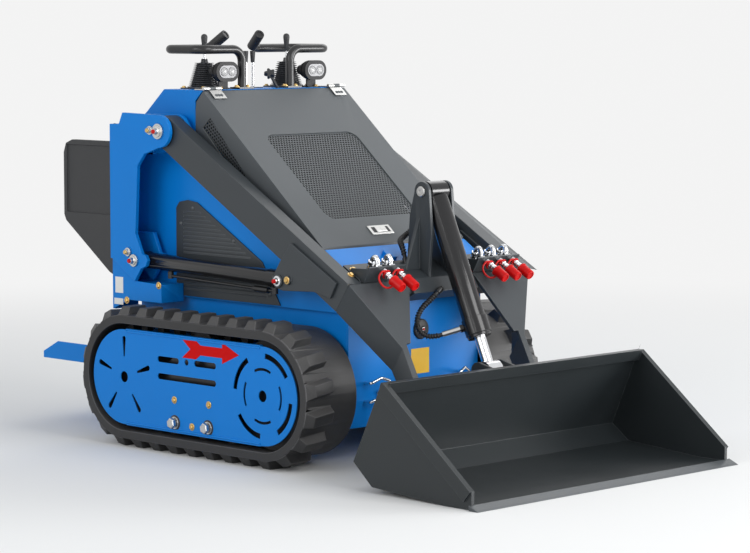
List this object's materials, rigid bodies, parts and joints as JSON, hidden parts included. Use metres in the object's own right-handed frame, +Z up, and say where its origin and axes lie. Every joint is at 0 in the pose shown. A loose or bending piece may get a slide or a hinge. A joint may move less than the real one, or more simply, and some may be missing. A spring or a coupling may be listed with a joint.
{
  "type": "compact stand-on track loader",
  "caption": "Small ride-on track loader with lift arms, a tilting bucket, hydraulic cylinders, a hinged hood, hand controls and a fold-up standing platform.",
  "frame": {"origin": "on the ground at the middle of the machine's length and width", "axes": "+Z up, -Y is the front with the bucket, +X is the machine's left side"},
  "size_m": [0.994, 1.946, 1.1205],
  "materials": {
    "blue_paint": "gloss powder coat",
    "gray_paint": "satin powder coat",
    "bucket_paint": "satin paint",
    "black_paint": "satin black paint",
    "chrome": "polished",
    "zinc_steel": "zinc plated",
    "track_rubber": "moulded rubber",
    "boot_rubber": "ribbed soft rubber",
    "wheel_iron": "painted casting",
    "black_plastic": "textured",
    "cap_red": "soft moulded plastic"
  },
  "bodies": {
    "chassis": {"lower_tub": "blue_paint", "front_plate": "blue_paint", "upper_body": "blue_paint", "console": "blue_paint", "engine_block": "wheel_iron", "tower_left": "blue_paint", "tower_right": "blue_paint", "tower_pins": "zinc_steel", "side_pads": "black_plastic", "access_panels": "gray_paint", "track_left": "track_rubber", "track_right": "track_rubber", "idler_wheels": "wheel_iron", "drive_sprockets": "wheel_iron", "track_rollers": "wheel_iron", "track_frames": "blue_paint", "track_guard_left": "blue_paint", "track_guard_right": "blue_paint", "control_handles": "black_paint", "joystick_boots": "boot_rubber", "joysticks": "black_plastic", "console_levers": "black_plastic", "throttle_knob": "black_plastic", "work_lamps": "black_plastic", "platform_brackets": "blue_paint", "front_plug": "boot_rubber", "filler_cap": "blue_paint", "tie_hooks": "chrome", "hood_hinges": "zinc_steel"},
    "lift_arms": {"arm_left": "gray_paint", "arm_right": "gray_paint", "arm_gussets": "gray_paint", "arm_leg_left": "gray_paint", "arm_leg_right": "gray_paint", "cross_member": "gray_paint", "tilt_bracket": "gray_paint", "tilt_pin": "zinc_steel", "coupler_brackets": "gray_paint", "couplers": "chrome", "coupler_caps": "cap_red", "hose_glands": "black_paint", "tilt_hose_upper": "boot_rubber", "tilt_hose_lower": "boot_rubber"},
    "lift_barrel_l": {"lift_barrel_left": "black_paint", "lift_pipe_left": "zinc_steel"},
    "lift_barrel_r": {"lift_barrel_right": "black_paint", "lift_pipe_right": "zinc_steel"},
    "lift_rod_l": {"lift_rod_left": "chrome"},
    "lift_rod_r": {"lift_rod_right": "chrome"},
    "tilt_barrel_body": {"tilt_barrel": "black_paint", "tilt_fittings": "zinc_steel"},
    "tilt_rod_body": {"tilt_rod": "chrome"},
    "bucket": {"bucket_shell": "bucket_paint", "cutting_edge": "bucket_paint", "hitch_plate": "bucket_paint"},
    "hood": {"hood_lid": "gray_paint", "hood_mesh": "black_paint", "hood_latch": "chrome"},
    "platform_body": {"platform": "blue_paint"}
  },
  "joints": [
    {"name": "arm_lift", "type": "hinge", "parent": "chassis", "child": "lift_arms", "pos_m": [0, 0.333, 0.852], "axis": [-1, 0, 0], "range_deg": [0, 78]},
    {"name": "lift_swing_l", "type": "hinge", "parent": "chassis", "child": "lift_barrel_l", "pos_m": [0, 0.437, 0.498], "axis": [-1, 0, 0], "range_deg": [-1, 56.09]},
    {"name": "lift_stroke_l", "type": "slide", "parent": "lift_barrel_l", "child": "lift_rod_l", "axis": [0, -0.9995, -0.0317], "range_m": [-0.005, 0.3873]},
    {"name": "lift_swing_r", "type": "hinge", "parent": "chassis", "child": "lift_barrel_r", "pos_m": [0, 0.437, 0.498], "axis": [-1, 0, 0], "range_deg": [-1, 56.09]},
    {"name": "lift_stroke_r", "type": "slide", "parent": "lift_barrel_r", "child": "lift_rod_r", "axis": [0, -0.9995, -0.0317], "range_m": [-0.005, 0.3873]},
    {"name": "bucket_tilt", "type": "hinge", "parent": "lift_arms", "child": "bucket", "pos_m": [0, -0.519, 0.14], "axis": [1, 0, 0], "range_deg": [-18, 105]},
    {"name": "tilt_swing", "type": "hinge", "parent": "lift_arms", "child": "tilt_barrel_body", "pos_m": [0, -0.351, 0.707], "axis": [1, 0, 0], "range_deg": [-3.1, 1.36], "deforming": ["tilt_hose_upper", "tilt_hose_lower"]},
    {"name": "tilt_stroke", "type": "slide", "parent": "tilt_barrel_body", "child": "tilt_rod_body", "axis": [0, -0.4063, -0.9137], "range_m": [-0.0374, 0.1942]},
    {"name": "hood_open", "type": "hinge", "parent": "chassis", "child": "hood", "pos_m": [0, 0.254, 0.966], "axis": [-1, 0, 0], "range_deg": [0, 60]},
    {"name": "platform_fold", "type": "hinge", "parent": "chassis", "child": "platform_body", "pos_m": [0, 0.594, 0.183], "axis": [1, 0, 0], "range_deg": [0, 85]}
  ],
  "couplings": [
    {"joint": "lift_swing_l", "follows": "arm_lift", "ratio": 0.7063},
    {"joint": "lift_swing_r", "follows": "arm_lift", "ratio": 0.7063},
    {"joint": "lift_stroke_l", "follows": "arm_lift", "m_per_rad": 0.2808},
    {"joint": "lift_stroke_r", "follows": "arm_lift", "m_per_rad": 0.2808},
    {"joint": "tilt_swing", "follows": "bucket_tilt", "ratio": -0.02},
    {"joint": "tilt_stroke", "follows": "bucket_tilt", "m_per_rad": 0.10325}
  ]
}
